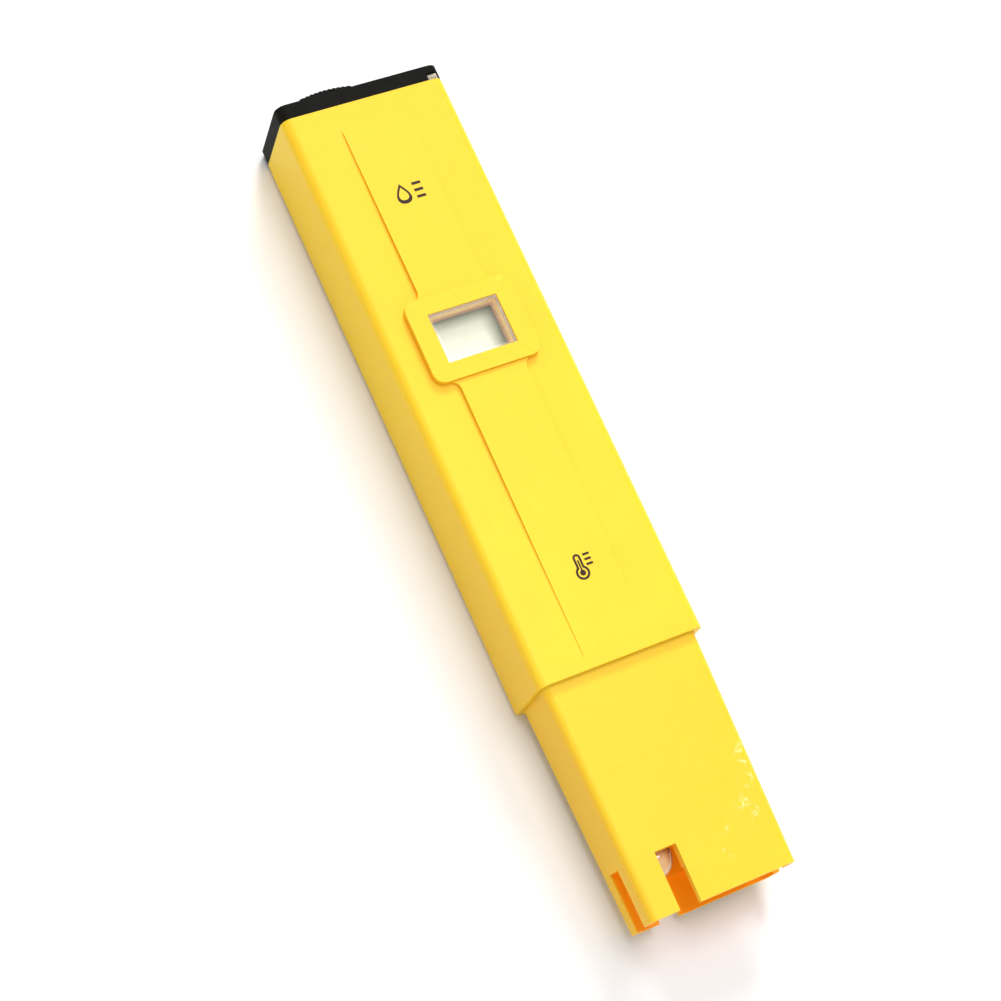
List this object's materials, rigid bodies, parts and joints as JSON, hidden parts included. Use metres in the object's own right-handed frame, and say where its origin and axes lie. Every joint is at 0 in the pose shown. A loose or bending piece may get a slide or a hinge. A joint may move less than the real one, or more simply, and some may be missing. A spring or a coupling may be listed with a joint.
{
  "type": "digital ph meter",
  "caption": "Pen-shaped pocket tester with a long rectangular sleeve, a small display, a slotted tapered probe housing with a glass bulb, and a pull-off battery cap with a slide switch.",
  "frame": {"origin": "centre of the bounding box in X and Y, on the plane of the sleeve's back face, which the meter lies on", "axes": "+X across the meter to the right as the display is read, +Y from the probe end to the battery cap, +Z out of the display face"},
  "size_m": [0.03, 0.1492, 0.0177],
  "materials": {
    "yellow_shell": "satin moulded",
    "black_cap": "fine moulded",
    "clear_window": "polished acrylic",
    "display_glass": "polished",
    "polariser": "smooth film",
    "reflector": "matt film",
    "white_plastic": "moulded",
    "sensor_glass": "polished",
    "reference_plastic": "extruded tube",
    "porous_ceramic": "porous",
    "sheath_steel": "drawn",
    "silver_wire": "drawn",
    "thermistor_epoxy": "dipped bead",
    "potting_resin": "cast",
    "seal_rubber": "moulded",
    "white_insulation": "smooth",
    "black_insulation": "smooth",
    "red_insulation": "smooth",
    "board_laminate": "solder mask",
    "chip_black": "moulded",
    "tin_plate": "tinned",
    "capacitor_ceramic": "sintered",
    "trimmer_blue": "moulded",
    "trimmer_brass": "turned",
    "carbon_silicone": "layered",
    "nickel_spring": "nickel plated",
    "copper_strip": "pressed",
    "cell_steel": "nickel plated"
  },
  "bodies": {
    "case": {"upper_case": "yellow_shell", "window_lens": "clear_window", "probe_housing": "yellow_shell", "housing_seal": "seal_rubber", "electrode_stem": "sensor_glass", "electrode_bulb": "sensor_glass", "electrode_wire": "silver_wire", "electrode_collar": "seal_rubber", "reference_tube": "reference_plastic", "reference_junction": "porous_ceramic", "reference_wire": "silver_wire", "reference_collar": "seal_rubber", "temperature_sheath": "sheath_steel", "thermistor_bead": "thermistor_epoxy", "thermistor_leads": "tin_plate", "potting_plug": "potting_resin", "electrode_lead": "white_insulation", "reference_lead": "black_insulation", "thermistor_lead_pair": "red_insulation", "circuit_board": "board_laminate", "main_chip": "chip_black", "main_chip_pins": "tin_plate", "amplifier_chip": "chip_black", "amplifier_chip_pins": "tin_plate", "resistors": "chip_black", "capacitors": "capacitor_ceramic", "trimmer_body": "trimmer_blue", "trimmer_pins": "tin_plate", "display_front_glass": "display_glass", "display_rear_glass": "display_glass", "display_polariser": "polariser", "display_reflector": "reflector", "display_frame": "white_plastic", "contact_strip_upper": "carbon_silicone", "contact_strip_lower": "carbon_silicone", "board_spring_positive": "nickel_spring", "board_spring_negative": "nickel_spring"},
    "cap": {"battery_cap": "black_cap", "cell_1": "cell_steel", "cell_2": "cell_steel", "cell_3": "cell_steel", "cell_4": "cell_steel", "battery_contact_positive": "nickel_spring", "battery_contact_negative": "nickel_spring", "switch_contact": "nickel_spring"},
    "switch": {"switch_knob": "black_cap", "switch_wiper": "copper_strip"},
    "trimmer": {"trimmer_screw": "trimmer_brass"}
  },
  "joints": [
    {"name": "cap_pull", "type": "slide", "parent": "case", "child": "cap", "axis": [0, 1, 0], "range_m": [0, 0.025]},
    {"name": "switch_slide", "type": "slide", "parent": "cap", "child": "switch", "axis": [1, 0, 0], "range_m": [0, 0.004]},
    {"name": "trimmer_turn", "type": "hinge", "parent": "case", "child": "trimmer", "pos_m": [0, -0.008, 0.004], "axis": [0, 0, -1], "range_deg": [-130, 130]}
  ]
}
